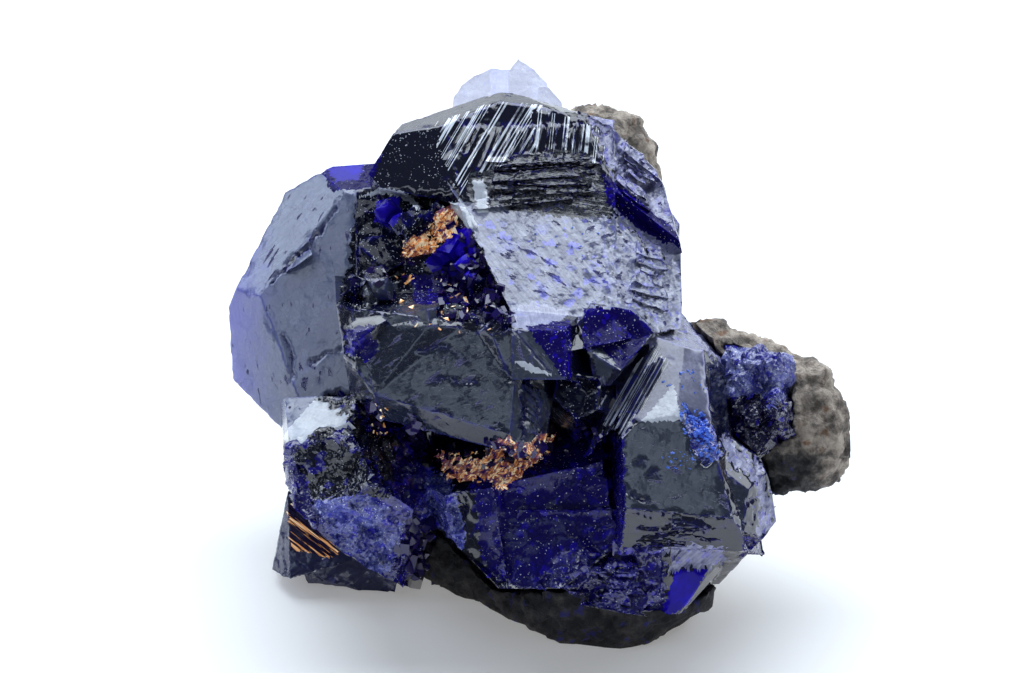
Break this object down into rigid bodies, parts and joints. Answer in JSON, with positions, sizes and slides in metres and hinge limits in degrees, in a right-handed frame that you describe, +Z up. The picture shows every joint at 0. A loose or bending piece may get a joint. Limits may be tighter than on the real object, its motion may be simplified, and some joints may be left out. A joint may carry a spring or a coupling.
{
  "type": "mineral specimen",
  "caption": "Azurite specimen: glossy deep blue crystals with a sparkling hollow, grown on a lump of brown-grey rock.",
  "frame": {"origin": "bottom centre of the bounding box, on the flat that the rock rests on", "axes": "+Z up; the crystals' front faces -Y and leans back, +X is to the right seen from the front"},
  "size_m": [0.037, 0.0318, 0.028],
  "materials": {
    "azurite": "glossy crystal faces, deep blue to near black",
    "rock": "rough, dull, brown-grey"
  },
  "bodies": {
    "root": {"azurite_cluster": "azurite", "right_crystals": "azurite", "rear_crystals": "azurite", "back_blades": "azurite", "matrix": "rock"}
  },
  "joints": []
}
